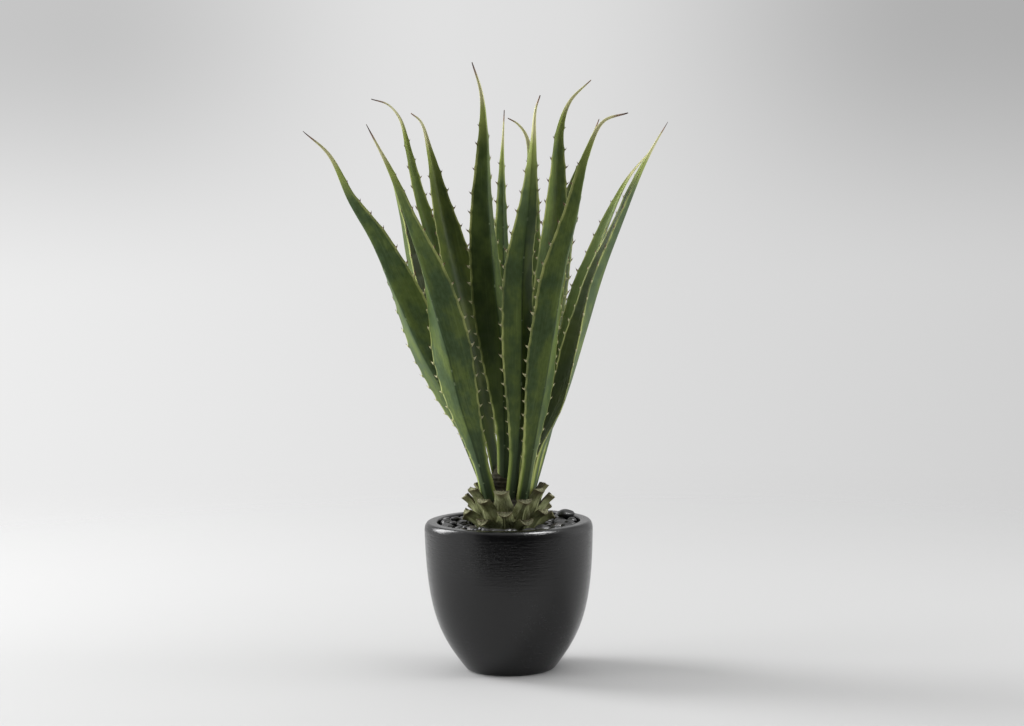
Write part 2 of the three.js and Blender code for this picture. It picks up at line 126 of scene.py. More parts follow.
# Leaves: full width, points along each leaf from its root (spine), and the azimuths that its outer
# face looks towards, evenly spaced from root to tip (keel). bloom is how grey its
# waxy coat is, and is also set per leaf as painted light, lighter on some leaves and darker on
# others; thorn is how much of its end spine is brown; and inner is painted light on its inner face
# where over 0 (up to 1) and painted shade where under 0 (down to -1).
LEAVES = [
    dict(width=76, bloom=0.8, thorn=1, inner=0, keel=[236, 246, 232, 208, 205], spine=[
        (-35, -14, 306), (-63, -30, 417), (-96, -42, 490), (-139, -62, 577), (-183, -86, 688),
        (-221, -102, 776), (-262, -112, 846), (-299, -122, 924), (-342, -130, 965)]),
    dict(width=72, bloom=0.85, thorn=1, inner=0, keel=[250, 255, 256, 222, 208, 205], spine=[
        (-31, -30, 298), (-50, -54, 384), (-80, -86, 494), (-101, -114, 601), (-125, -142, 707),
        (-159, -172, 811), (-191, -194, 896), (-228, -215, 973)]),
    dict(width=46, bloom=0.6, thorn=1, inner=0.3, keel=[125, 135], spine=[
        (-31, 30, 298), (-67, 76, 478), (-97, 116, 622), (-122, 138, 732), (-153, 152, 837),
        (-175, 161, 934), (-189, 165, 992), (-210, 168, 1018), (-241, 170, 1029)]),
    dict(width=68, bloom=0.3, thorn=0.2, inner=0, keel=[125, 112], spine=[
        (-16, 14, 335), (-35, 42, 427), (-60, 82, 587), (-88, 108, 714), (-114, 124, 827),
        (-134, 134, 930), (-149, 138, 985), (-167, 140, 1001)]),
    dict(width=67, bloom=0.1, thorn=0.9, inner=0, keel=[262, 290, 306, 312, 300], spine=[
        (-5, -20, 335), (-6, -38, 452), (-13, -64, 582), (-26, -86, 703), (-33, -102, 842),
        (-30, -112, 963), (-35, -114, 1028), (-50, -116, 1079)]),
    dict(width=34, bloom=0.5, thorn=0.9, inner=0, keel=[290, 290], spine=[
        (-2, 2, 350), (-5, 12, 519), (-4, 20, 662), (-3, 26, 805), (-1, 30, 912), (4, 32, 1001)]),
    dict(width=56, bloom=0.6, thorn=0.3, inner=0.5, keel=[84, 88], spine=[
        (6, 34, 306), (21, 85, 476), (34, 128, 620), (46, 162, 765), (53, 182, 876),
        (44, 195, 957), (28, 198, 980), (10, 200, 991)]),
    dict(width=58, bloom=0.45, thorn=0.5, inner=0,
         keel=[285, 292, 293, 292, 291, 290, 275, 264, 262], spine=[
        (6, -36, 304), (18, -60, 419), (22, -76, 491), (24, -103, 598), (28, -138, 721),
        (44, -172, 841), (52, -196, 934), (57, -208, 993), (65, -214, 1017)]),
    dict(width=56, bloom=0.9, thorn=0.3, inner=0.3, keel=[60, 85, 100, 115], spine=[
        (17, 15, 335), (50, 64, 505), (74, 92, 639), (90, 110, 766), (98, 120, 875),
        (105, 126, 969), (124, 128, 1018), (163, 130, 1056)]),
    dict(width=60, bloom=0.5, thorn=0.5, inner=0, keel=[58, 62], spine=[
        (24, 37, 298), (54, 98, 475), (84, 142, 618), (111, 178, 764), (132, 198, 865),
        (154, 208, 921), (180, 218, 987)]),
    dict(width=65, bloom=0.6, thorn=0.9, inner=0, keel=[295, 298, 316, 317, 312], spine=[
        (25, -37, 298), (42, -64, 401), (60, -94, 510), (74, -119, 607), (93, -149, 721),
        (120, -175, 823), (145, -201, 921), (172, -214, 972), (212, -222, 985)]),
    dict(width=58, bloom=1, thorn=0.3, inner=0.8, keel=[17, 35], spine=[
        (37, 12, 303), (64, 26, 391), (85, 44, 470), (122, 78, 612), (164, 112, 737),
        (198, 138, 817), (231, 160, 877), (272, 175, 926)]),
    dict(width=66, bloom=0.8, thorn=1, inner=-0.9, keel=[360, 388, 374, 370, 370], spine=[
        (36, -17, 303), (57, -30, 397), (93, -38, 486), (131, -34, 610), (164, -22, 711),
        (208, -6, 811), (247, 8, 894), (273, 16, 940), (295, 24, 975)]),
    dict(width=56, bloom=0, thorn=0.6, inner=-0.8, keel=[163, 160], spine=[
        (-34, 13, 306), (-93, 33, 464), (-133, 54, 608), (-167, 74, 731), (-183, 84, 816),
        (-205, 90, 898), (-233, 92, 952)]),
]
# Along a leaf: share of the full width, thickness, and the angle that each half folds up.
BLADE_WIDTH = [(0, 0.4), (0.12, 0.37), (0.2, 0.57), (0.3, 0.87), (0.4, 1), (0.5, 0.98), (0.58, 0.9),
               (0.68, 0.69), (0.78, 0.43), (0.88, 0.18), (0.93, 0.09), (0.97, 0.05), (1, 0.015)]
BLADE_THICKNESS = [(0, 11), (0.12, 10), (0.3, 7), (0.6, 5), (0.9, 3.4), (0.96, 2.8), (1, 0.8)]
BLADE_FOLD = [(0, 20), (0.3, 30), (0.6, 35), (0.9, 35), (1, 12)]
MARGIN_THICKNESS = 1.6
STATIONS = 260
FACE_POINTS = 21
# How strongly the points of a face crowd at its keel and its margins.
FACE_CROWDING = 0.6
# How rounded both faces bend, and how full they stay towards the margins.
KEEL_ROUNDING = 0.1
CHANNEL_ROUNDING = 0.35
KEEL_FULLNESS = 3
CHANNEL_FULLNESS = 1.3
BEAD = 0.5
# Slow waves along margins, as (length, height) pairs; they are lower under this half width.
MARGIN_WAVES = ((310, 1.1), (150, 0.6), (60, 0.25))
WAVE_FADE = 12

TOOTH_LENGTH = 10
TOOTH_BASE = 7
TOOTH_ROOT = 1.5
TOOTH_THICKNESS = 2.4
# Half breadth and half thickness left at a tooth's point.
TOOTH_POINT = (0.2, 0.12)
# The angle that a tooth bends by, and the share of it that its rings lean by.
TOOTH_HOOK = 62
TOOTH_LEAN = 0.6
TOOTH_RINGS = 8
TOOTH_SIDES = 10
# Teeth stand this far apart, times the first share at the root and the second more at the tip.
TOOTH_PITCH = 30
PITCH_GROWTH = (0.75, 0.6)
# Random shares that each step and each tooth are sized by.
PITCH_RANGE = (0.8, 1.2)
TOOTH_RANGE = (0.85, 1.15)
# Along a leaf: size of its teeth, as a share of the full size.
TOOTH_GROWTH = [(0.1, 0.5), (0.25, 0.8), (0.42, 1), (0.65, 0.95), (0.78, 0.75), (0.88, 0.45)]
TEETH_FROM = 0.12
TEETH_TO = 0.87
# Margins swell at the feet of teeth: how high, how far along, and less under this half width.
SWELL_HEIGHT = 1.3
SWELL_REACH = 5
SWELL_FADE = 8

# Random phases of waves and ridges lie between 0 and this, about a full turn.
LAST_PHASE = 6.28
LEAF_SEED = 100
STONE_SEED = 41
TRUNK_SEED = 7


# -------- meshes

class Shell:
    """Vertices, faces and named numbers per vertex, gathered for one mesh."""

    def __init__(self):
        self.points = []
        self.faces = []
        self.values = {}
        self.count = 0

    def add(self, points, faces, **values):
        """Adds a part; each value is one number or one per point."""
        points = np.asarray(points, float).reshape(-1, 3)
        self.faces += [[corner + self.count for corner in face] for face in faces]
        self.points.append(points)
        for name in set(self.values) | set(values):
            before = self.values.setdefault(name, [np.zeros(self.count)] if self.count else [])
            before.append(np.broadcast_to(values.get(name, 0.0), len(points)))
        self.count += len(points)

    def build(self, name, material, slot, *replaced, sharp=None):
        """Makes the object, in metres, riding on the plant's body; sharp is an angle in degrees."""
        mesh = bpy.data.meshes.new(name)
        mesh.from_pydata(np.concatenate(self.points) * MM, [], self.faces)
        for value_name, parts in self.values.items():
            attribute = mesh.attributes.new(value_name, "FLOAT", "POINT")
            attribute.data.foreach_set("value", np.concatenate(parts).astype(np.float32))
        mesh.polygons.foreach_set("use_smooth", np.ones(len(self.faces), bool))
        if sharp:
            mesh.set_sharp_from_angle(angle=radians(sharp))
        mesh.materials.append(material)
        piece = bpy.data.objects.new(name, mesh)
        bpy.context.scene.collection.objects.link(piece)
        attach(piece, BODY)
        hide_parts(*replaced)


def tube_faces(rings, sides):
    """Faces of a closed tube of rings of corners, with one polygon at each end."""
    faces = [[i * sides + j, i * sides + (j + 1) % sides, (i + 1) * sides + (j + 1) % sides,
              (i + 1) * sides + j] for i in range(rings - 1) for j in range(sides)]
    faces.append(list(range(sides))[::-1])
    faces.append([(rings - 1) * sides + j for j in range(sides)])
    return faces


def lathe(profile, sides):
    """Points and faces of (radius, z) pairs turned about Z; the pairs run up the outside."""
    profile = np.array(profile, float)
    angles = np.arange(sides) * 2 * pi / sides
    radius, z = profile[:, :1], profile[:, 1:]
    points = np.stack([radius * np.cos(angles), radius * np.sin(angles), z + 0 * angles], axis=-1)
    return points.reshape(-1, 3), tube_faces(len(profile), sides)


def towards(azimuth):
    """The level direction of an azimuth in degrees."""
    return np.array([cos(radians(azimuth)), sin(radians(azimuth)), 0.0])


def unit(vectors):
    """The vectors, each made 1 long."""
    return vectors / np.linalg.norm(vectors, axis=-1, keepdims=True)


def on_lines(pairs, at):
    """Values at places on straight lines between the (place, value) pairs."""
    return np.interp(at, *zip(*pairs))


def run_along(points):
    """How far along a line of points each of them lies."""
    return np.concatenate([[0], np.cumsum(np.linalg.norm(np.diff(points, axis=0), axis=1))])


def smooth_curve(points, steps=40):
    """Points along the centripetal curve through the given ones."""
    points = np.array(points, float)
    before, after = 2 * points[0] - points[1], 2 * points[-1] - points[-2]
    points = np.concatenate([[before], points, [after]])
    t = np.linspace(0, 1, steps, endpoint=False)[:, None]
    found = []
    for p0, p1, p2, p3 in zip(points, points[1:], points[2:], points[3:]):
        d0, d1, d2 = (sqrt(np.linalg.norm(b - a)) for a, b in ((p0, p1), (p1, p2), (p2, p3)))
        out = ((p1 - p0) / d0 - (p2 - p0) / (d0 + d1) + (p2 - p1) / d1) * d1
        into = ((p2 - p1) / d1 - (p3 - p1) / (d1 + d2) + (p3 - p2) / d2) * d1
        found.append(p1 + out * t + (3 * (p2 - p1) - 2 * out - into) * t**2
                     + (2 * (p1 - p2) + out + into) * t**3)
    return np.concatenate([*found, points[-2:-1]])


def frames_along(points, azimuths, shares):
    """Places, tangents, sides and outward directions at shares of a curve, and its length."""
    curve = smooth_curve(points)
    run = run_along(curve)
    at = shares * run[-1]
    places = np.stack([np.interp(at, run, curve[:, k]) for k in range(3)], axis=1)
    tangents = unit(np.gradient(places, axis=0))
    angles = np.radians(np.interp(shares, np.linspace(0, 1, len(azimuths)), azimuths))
    outward = np.stack([np.cos(angles), np.sin(angles), 0 * angles], axis=1)
    outward = unit(outward - tangents * (outward * tangents).sum(1, keepdims=True))
    return places, tangents, np.cross(tangents, outward), outward, run[-1]


def rounded_bend(s, rounding):
    """0 in the middle and 1 at both edges, straight but for a rounded middle."""
    low = sqrt(1 + rounding**2) - rounding
    return (np.sqrt(s**2 + rounding**2) - rounding) / low


def softened(pairs, shares):
    """Values on straight lines between the pairs, with their corners smoothed over a width."""
    width = 0.02
    shifts = np.linspace(-2, 2, 9)
    weights = np.exp(-shifts**2)
    room = np.minimum(1, np.minimum(shares, 1 - shares) / (2 * width))
    samples = [on_lines(pairs, shares + shift * width * room) for shift in shifts]
    return np.tensordot(weights / weights.sum(), np.array(samples), 1)


# -------- leaves

def tooth_places(length, luck):
    """Where the teeth of one margin stand, as distances from the root."""
    places = []
    at = length * (TEETH_FROM + 0.02 * luck.random())
    while at < length * TEETH_TO:
        places.append(at)
        pitch = TOOTH_PITCH * (PITCH_GROWTH[0] + PITCH_GROWTH[1] * (at / length))
        at += pitch * luck.uniform(*PITCH_RANGE)
    return places


def swell(distances, teeth):
    """How far a margin bulges at each distance, towards the feet of its teeth."""
    away = (distances[:, None] - np.array(teeth)[None, :]) / SWELL_REACH
    return SWELL_HEIGHT * np.exp(-away**2).sum(1)


def add_tooth(shell, place, up, outwards, face, size, **values):
    """One hooked tooth: a flattened cone that leaves the margin and bends towards the tip."""
    share = np.linspace(0, 1, TOOTH_RINGS)
    bend = np.radians(TOOTH_HOOK) * share
    step = size * TOOTH_LENGTH / (TOOTH_RINGS - 1)
    out = np.concatenate([[0], np.cumsum(np.cos(bend[1:]) * step)]) - TOOTH_ROOT
    rise = np.concatenate([[0], np.cumsum(np.sin(bend[1:]) * step)])
    turn = np.arange(TOOTH_SIDES) * 2 * pi / TOOTH_SIDES
    broad = size * TOOTH_BASE / 2 * (1 - share)**2 + TOOTH_POINT[0]
    thick = size * TOOTH_THICKNESS / 2 * (1 - share)**0.9 + TOOTH_POINT[1]
    rings = []
    for k in range(TOOTH_RINGS):
        centre = place + outwards * out[k] + up * rise[k]
        angle = bend[k] * TOOTH_LEAN
        lean = up * cos(angle) - outwards * sin(angle)
        rings.append(centre + broad[k] * np.cos(turn)[:, None] * lean
                     + thick[k] * np.sin(turn)[:, None] * face)
    # The value that colours a tooth starts over 0, which means the blade.
    shell.add(np.concatenate(rings), tube_faces(TOOTH_RINGS, TOOTH_SIDES),
              tooth=np.repeat(0.05 + 0.95 * share, TOOTH_SIDES), **values)


def wavy(distances, luck):
    """A slow, low wave of a margin, in millimetres."""
    total = 0 * distances
    for length, height in MARGIN_WAVES:
        phase = luck.random() * LAST_PHASE
        total = total + height * np.sin(distances * 2 * pi / length + phase)
    return total


def face_columns():
    """Where the points of a face stand across a leaf, between -1 and 1."""
    x = np.linspace(-1, 1, FACE_POINTS)
    return x - FACE_CROWDING * np.sin(2 * pi * x) / (2 * pi)


def blade_face(s, rounding, fullness, hand, depth, thick):
    """Height of the outer (hand 1) or inner (hand -1) face over the blade's flat, at s across."""
    margin = np.minimum(MARGIN_THICKNESS / 2, thick / 2)
    middle = depth / 2 - depth * rounded_bend(s, rounding)
    return middle + hand * (margin + (thick - margin) * (1 - np.abs(s) ** fullness))


def blade_sections(shares, distances, half, teeth, luck):
    """How far each corner of each section lies across the leaf, and over the blade's flat."""
    s = face_columns()[None]
    swelling = np.minimum(1, half / SWELL_FADE)
    halves = {hand: half + swell(distances, teeth[hand]) * swelling for hand in teeth}
    waves = {hand: wavy(distances, luck) for hand in teeth}
    reach = np.where(s < 0, halves[-1][:, None], halves[1][:, None]) * s
    ripple = np.where(s < 0, waves[-1][:, None], waves[1][:, None]) * s**2
    ripple = ripple * np.minimum(1, half / WAVE_FADE)[:, None]
    depth = (half * np.tan(np.radians(softened(BLADE_FOLD, shares))))[:, None]
    thick = softened(BLADE_THICKNESS, shares)[:, None] / 2
    outer = blade_face(s, KEEL_ROUNDING, KEEL_FULLNESS, 1, depth, thick) + ripple
    inner = blade_face(s, CHANNEL_ROUNDING, CHANNEL_FULLNESS, -1, depth, thick) + ripple
    edge = (outer + inner) / 2
    across = [reach, reach[:, -1:] + BEAD, reach[:, ::-1], reach[:, :1] - BEAD]
    lift = [outer, edge[:, -1:], inner[:, ::-1], edge[:, :1]]
    return np.concatenate(across, axis=1), np.concatenate(lift, axis=1)


def add_blade(shell, points, across, shares, distances, half, **values):
    """The blade: at each station its outer face, a margin's bead, its inner face, and a bead."""
    full = np.abs(face_columns())
    full = np.concatenate([full, [1], full, [1]])
    outer = np.concatenate([np.ones(FACE_POINTS + 1), np.zeros(FACE_POINTS + 1)])
    shell.add(
        points, tube_faces(STATIONS, len(full)),
        rim=((1 - full[None]) * half[:, None]).ravel() * MM,
        across=across.ravel() * MM,
        along=np.repeat(distances, len(full)) * MM,
        share=np.repeat(shares, len(full)),
        outer=np.tile(outer, STATIONS),
        **values,
    )


def add_teeth(shell, points, across, teeth, length, luck, **values):
    """The teeth of both margins, pointing away from the keel and curling towards the tip."""
    for hand, index in ((-1, -1), (1, FACE_POINTS)):
        for at in teeth[hand]:
            share = at / length
            k = min(STATIONS - 2, int(share * (STATIONS - 1)))
            foot = points[k, index]
            up = unit(points[k + 1, index] - foot)
            keel = (points[k, FACE_POINTS // 2] + points[k, FACE_POINTS + 1 + FACE_POINTS // 2]) / 2
            out = foot - keel
            out = unit(out - up * out.dot(up))
            size = on_lines(TOOTH_GROWTH, share) * luck.uniform(*TOOTH_RANGE)
            add_tooth(shell, foot, up, out, np.cross(up, out), size,
                      across=across[k, index] * MM, along=at * MM, share=share, **values)


def leaf_piece(number, leaf, material):
    """One leaf: a keeled, channelled blade with beaded margins, teeth and an end spine."""
    luck = random.Random(LEAF_SEED + number)
    tone = luck.random()
    shares = np.linspace(0, 1, STATIONS)
    places, _, sides, outward, length = frames_along(leaf["spine"], leaf["keel"], shares)
    distances = shares * length
    half = leaf["width"] / 2 * softened(BLADE_WIDTH, shares)
    teeth = {hand: tooth_places(length, luck) for hand in (-1, 1)}
    across, lift = blade_sections(shares, distances, half, teeth, luck)
    points = places[:, None] + across[..., None] * sides[:, None] + lift[..., None] * outward[:, None]
    shell = Shell()
    add_blade(shell, points, across, shares, distances, half,
              tone=tone, bloom=leaf["bloom"], thorn=leaf["thorn"], inner=leaf["inner"])
    add_teeth(shell, points, across, teeth, length, luck, tone=tone, bloom=leaf["bloom"])
    name = f"leaf_{number:02d}"
    shell.build(f"{name}_blade", material, "leaf", name)


# -------- pot

def bezier(a, b, c, d, steps):
    """Points of a cubic curve with ends a and d, pulled by b and c."""
    t = np.linspace(0, 1, steps)[:, None]
    a, b, c, d = (np.array(point, float) for point in (a, b, c, d))
    return a * (1 - t)**3 + 3 * b * t * (1 - t)**2 + 3 * c * t**2 * (1 - t) + d * t**3


def corner(middle, half, start, end, steps):
    """Points of an oval corner between two angles in degrees."""
    angles = np.radians(np.linspace(start, end, steps))[:, None]
    return np.array(middle) + np.array(half) * np.concatenate([np.cos(angles), np.sin(angles)], axis=1)


def pot_profile():
    """The pot as (radius, height) pairs: up the outside, over the rim and down the inside."""
    shoulder = (RIM_RADIUS, POT_HEIGHT - RIM_ROUNDING[1])
    foot = (FOOT_RADIUS + FOOT_ROUNDING, 0)
    wall = bezier(foot, WALL_LOW_PULL, WALL_HIGH_PULL, shoulder, POT_STEPS["wall"])
    # The foot's edge is bevelled.
    wall[0] = FOOT_RADIUS + FOOT_ROUNDING * 0.6, FOOT_ROUNDING * 0.25
    # The rim starts a few degrees on, because the wall already ends at the shoulder.
    rim = corner((RIM_RADIUS - RIM_ROUNDING[0], shoulder[1]), RIM_ROUNDING, 8, 90, POT_STEPS["rim"])
    lip_middle = (RIM_INNER_RADIUS + LIP_ROUNDING, POT_HEIGHT - LIP_ROUNDING)
    lip = corner(lip_middle, (LIP_ROUNDING, LIP_ROUNDING), 90, 180, POT_STEPS["lip"])
    levels = np.linspace(POT_HEIGHT - LIP_ROUNDING - 4, POT_FLOOR, POT_STEPS["inside"])
    inside = [(min(RIM_INNER_RADIUS, np.interp(z, wall[:, 1], wall[:, 0]) - WALL_THICKNESS), z)
              for z in levels]
    return np.concatenate([[(FOOT_RADIUS, 0)], wall, rim, lip, inside])


def pot_piece(material):
    """The pot, turned in one piece."""
    shell = Shell()
    shell.add(*lathe(pot_profile(), POT_SIDES))
    shell.build("pot_shell", material, "pot", "pot", sharp=50)


# -------- stones

def ball(detail):
    """Corners and faces of a unit ball made of small triangles."""
    mesh = bmesh.new()
    bmesh.ops.create_icosphere(mesh, subdivisions=detail, radius=1)
    points = np.array([vertex.co for vertex in mesh.verts])
    faces = [[vertex.index for vertex in face.verts] for face in mesh.faces]
    mesh.free()
    return points, faces


def pebble_form(points, luck, strength):
    """A unit ball worn into a pebble: lumpy, with softly edged flats."""
    shift = Vector((luck.random(), luck.random(), luck.random())) * 40
    lumps = np.array([noise.noise(Vector(point) * 0.9 + shift) for point in points])
    fine = np.array([noise.noise(Vector(point) * 2.6 + shift) for point in points])
    points = points * (1 + strength * lumps + 0.25 * strength * fine)[:, None]
    for _ in range(STONE_FLATS):
        facing = np.array([luck.gauss(0, 1) for _ in range(3)])
        facing /= np.linalg.norm(facing)
        over = np.maximum(0, points @ facing - luck.uniform(*FLAT_DEPTH))
        points = points - 0.8 * over[:, None] * facing
    return points


def turned_stone(points, half, place, turn, tip):
    """The unit form sized to its half-extents, tipped, turned and set in its place."""
    spin = Matrix.Rotation(turn, 3, "Z") @ Matrix.Rotation(tip, 3, "X")
    return points * half @ np.array(spin).T + place


class Heap:
    """Heights of a heap of stones on a grid, for setting each next stone down on it."""

    def __init__(self):
        axis = np.arange(-RIM_INNER_RADIUS, RIM_INNER_RADIUS + HEAP_STEP, HEAP_STEP)
        self.x, self.y = np.meshgrid(axis, axis, indexing="ij")
        radius = np.hypot(self.x, self.y)
        self.height = np.interp(radius, [HOLE_RADIUS, RIM_INNER_RADIUS], HEAP_GROUND)

    def footprint(self, x, y, half, turn):
        """Cells under a stone, and how far its surface stands over its middle at each."""
        dx, dy = self.x - x, self.y - y
        along = (dx * cos(turn) + dy * sin(turn)) / half[0]
        aside = (dy * cos(turn) - dx * sin(turn)) / half[1]
        inside = along**2 + aside**2 < 1
        return inside, half[2] * np.sqrt(1 - along[inside]**2 - aside[inside]**2)

    def rest(self, x, y, half, turn):
        """The height at which a stone's middle comes to rest."""
        inside, bulge = self.footprint(x, y, half, turn)
        return (self.height[inside] + bulge).max()

    def settle(self, x, y, z, half, turn):
        """Raises the heap by a stone."""
        inside, bulge = self.footprint(x, y, half, turn)
        self.height[inside] = np.maximum(self.height[inside], z + bulge)


def spread(luck, low, high):
    """A random distance from the middle, evenly spread over the area between both distances."""
    return sqrt(luck.uniform(low**2, high**2))


def lowest_place(heap, half, luck):
    """The lowest random place where a stone stays under the ceiling, if one is found."""
    best = None
    for _ in range(STONE_TRIES):
        azimuth, turn = luck.random() * 2 * pi, luck.random() * pi
        reach = hypot(half[0] * cos(turn - azimuth), half[1] * sin(turn - azimuth))
        radius = spread(luck, STONES_FROM, RIM_INNER_RADIUS - 2 - reach)
        x, y = radius * cos(azimuth), radius * sin(azimuth)
        z = heap.rest(x, y, half, turn)
        if z + half[2] < on_lines(STONE_CEILING, radius) and (best is None or z < best[2]):
            best = (x, y, z, turn)
    return best


def packed_stones(luck):
    """Half-extents, places and turns of the stones, largest first, and the heap they make."""
    heap = Heap()
    found = []
    for size in sorted((luck.uniform(*STONE_HALF) for _ in range(STONES)), reverse=True):
        half = np.array([size, size * luck.uniform(*STONE_BREADTH), size * luck.uniform(*STONE_HEIGHT)])
        best = lowest_place(heap, half, luck)
        if best:
            x, y, z, turn = best
            heap.settle(x, y, z, half, turn)
            found.append((half, (x, y, z), turn))
    x, y, half = TOP_STONE["x"], TOP_STONE["y"], np.array(TOP_STONE["half"], float)
    turn = radians(TOP_STONE["turn"])
    z = heap.rest(x, y, half, turn)
    heap.settle(x, y, z, half, turn)
    found.append((half, (x, y, z - TOP_STONE["sunk"]), turn))
    return found, heap


def gravel_bed(shell):
    """The bed under the stones: a closed ring with an uneven top."""
    sides, tracks, bottom = 120, 14, SOIL_TOP + 0.3
    radii = np.linspace(HOLE_RADIUS, RIM_INNER_RADIUS - 0.5, tracks)
    tops = np.interp(radii, [HOLE_RADIUS, RIM_INNER_RADIUS], BED_TOP)
    profile = [*zip(radii, tops), (radii[-1], bottom), (radii[0], bottom)]
    points, _ = lathe(profile, sides)
    for point in points[:tracks * sides]:
        point[2] += 1.6 * noise.noise(Vector((point[0], point[1], 0)) * 0.2)
    rings = len(profile)
    faces = [[i * sides + j, (i + 1) % rings * sides + j, (i + 1) % rings * sides + (j + 1) % sides,
              i * sides + (j + 1) % sides] for i in range(rings) for j in range(sides)]
    shell.add(points, faces, tone=0.1, grit=1)


def gravel_bits(shell, heap, luck):
    """Small bits of gravel, where the heap leaves room for them."""
    points, faces = ball(2)
    for _ in range(GRAVEL_BITS):
        size = luck.uniform(*GRAVEL_HALF)
        half = size * np.array(GRAVEL_SHAPE)
        azimuth = luck.random() * 2 * pi
        radius = spread(luck, GRAVEL_FROM, RIM_INNER_RADIUS - 1 - size)
        x, y = radius * cos(azimuth), radius * sin(azimuth)
        z = heap.rest(x, y, half, azimuth)
        if z + half[2] < GRAVEL_CEILING:
            form = pebble_form(points, luck, GRAVEL_LUMPS)
            place = (x, y, z - 0.4 * half[2])
            shell.add(turned_stone(form, half, place, azimuth, luck.uniform(-1, 1)), faces,
                      tone=luck.random(), grit=1)


def stones_piece(material):
    """The river stones on their bed, with gravel between them."""
    luck = random.Random(STONE_SEED)
    shell = Shell()
    gravel_bed(shell)
    points, faces = ball(4)
    found, heap = packed_stones(luck)
    for half, place, turn in found:
        form = pebble_form(points, luck, STONE_LUMPS)
        tip = radians(luck.uniform(-STONE_TIP, STONE_TIP))
        shell.add(turned_stone(form, half, place, turn, tip), faces, tone=luck.random(), grit=0)
    gravel_bits(shell, heap, luck)
    shell.build("river_stones", material, "pebbles", "pebbles")


# -------- trunk

def core(shell):
    """The woody middle, lumpy and ringed by old leaf scars."""
    outline = np.array(CORE_OUTLINE, float)
    run = run_along(outline)
    at = np.linspace(0, run[-1], CORE_STEPS)
    profile = np.stack([np.interp(at, run, outline[:, k]) for k in (0, 1)], axis=1)
    points, faces = lathe(profile, CORE_SIDES)
    radius = np.hypot(points[:, 0], points[:, 1])
    scars = 0.9 * np.sin(points[:, 2] * 2 * pi / SCAR_PITCH)
    lumps = np.array([1.8 * noise.noise(Vector(point) * 0.09) + 0.7 * noise.noise(Vector(point) * 0.4)
                      for point in points])
    # Both fade towards the narrow top.
    push = (scars + lumps) * np.minimum(1, radius / 20)
    points[:, :2] *= (1 + push / radius)[:, None]
    shell.add(points, faces, tone=0.2, heart=1, u=0.5)


def stub_path(row, azimuth, luck):
    """The middle line of a cut leaf base, from its foot on the trunk to its cut end."""
    z, reach, rise = row["z"], row["reach"], row["rise"]
    tilt = luck.uniform(-2, 2)
    path = [
        (CORE_RADIUS - 1, z - 26), (CORE_RADIUS + 3.5, z - 14), (CORE_RADIUS + 7.5, z - 4),
        (CORE_RADIUS + 0.5 * reach, z + 0.42 * rise), (CORE_RADIUS + reach - 1.5, z + rise - 1 + tilt),
    ]
    out = towards(azimuth)
    return [out * radius + np.array([0, 0, height]) for radius, height in path]


def stub_faces(u, s, luck):
    """Heights of a cut leaf base's outer and inner faces over its middle line."""
    sag = softened(STUB_SAG, u)[:, None] * s**2
    phase = [luck.random() * LAST_PHASE for _ in RIDGES]
    ridges = sum(height * np.sin(closeness * s + start)
                 for (closeness, height), start in zip(RIDGES, phase)) * (1 - s**4)
    keel = 1.3 * np.exp(-(s / 0.12)**2) * on_lines(STUB_KEEL_FADE, u)[:, None]
    outer = (softened(STUB_OUTER, u)[:, None] * (1 - np.abs(s)**2.6) - sag
             + ridges * on_lines(RIDGE_FADE, u)[:, None] + keel)
    inner = -softened(STUB_INNER, u)[:, None] * (1 - s**2) - sag - 1.2
    return outer, inner + 0.5 * np.sin(19 * s + phase[1]) * (1 - s**4)


def stub_ends(u, s, luck):
    """How far points are pushed along the base: its foot is ragged and its cut a little jagged."""
    ragged = np.array([luck.uniform(-6, 1) for _ in s]) + 2 * np.abs(s)
    jag = np.array([luck.uniform(-0.5, 0.9) for _ in s]) - 1.5 * s**2
    drop = np.interp(u, [0, 0.12, 0.3], [1, 0.35, 0])[:, None] * ragged
    return drop + np.interp(u, [0.85, 1], [0, 1])[:, None] * jag


def stub(shell, row, azimuth, luck):
    """One cut leaf base: a ridged shield clasping the trunk that narrows into a cut scoop."""
    u = np.linspace(0, 1, STUB_RINGS)
    s = np.linspace(-1, 1, STUB_POINTS)
    path = stub_path(row, azimuth, luck)
    places, tangents, sides, outward, _ = frames_along(path, [azimuth, azimuth], u)
    across = (softened(STUB_HALF, u) * luck.uniform(0.94, 1.04))[:, None] * s
    faces = stub_faces(u, s, luck)
    middle = sum(faces) / 2
    push = stub_ends(u, s, luck)

    # The last ring comes again for each ring that closes the cut end.
    ring = [*range(STUB_RINGS), *[STUB_RINGS - 1] * len(CUT_RINGS)]
    keep, narrow, sink, cut = np.array([(1, 1, 0, 0)] * STUB_RINGS + CUT_RINGS).T[..., None]
    flat = places[ring, None] + ((across[ring] * narrow)[..., None] * sides[ring, None]
                                 + (push[ring] - sink)[..., None] * tangents[ring, None])
    outer, inner = (flat + (keep * face[ring] + (1 - keep) * middle[ring])[..., None]
                    * outward[ring, None] for face in faces)
    corners = 2 * STUB_POINTS
    shell.add(
        np.concatenate([outer, inner[:, ::-1]], axis=1), tube_faces(len(ring), corners),
        u=np.repeat(u[ring], corners), cut=np.repeat(cut, corners),
        s=np.tile(np.concatenate([s, s[::-1]]), len(ring)),
        outer=np.tile([1] * STUB_POINTS + [0] * STUB_POINTS, len(ring)),
        tone=luck.random(), heart=0,
    )


def trunk_piece(material):
    """The core with its rows of cut leaf bases."""
    luck = random.Random(TRUNK_SEED)
    shell = Shell()
    core(shell)
    for row in STUB_ROWS:
        for i in range(STUB_COLUMNS):
            azimuth = STUB_FIRST_AZIMUTH + row["turn"] + i * 360 / STUB_COLUMNS
            stub(shell, row, azimuth + luck.uniform(-4, 4), luck)
    shell.build("trunk_bark", material, "trunk", "trunk", sharp=65)


# -------- materials

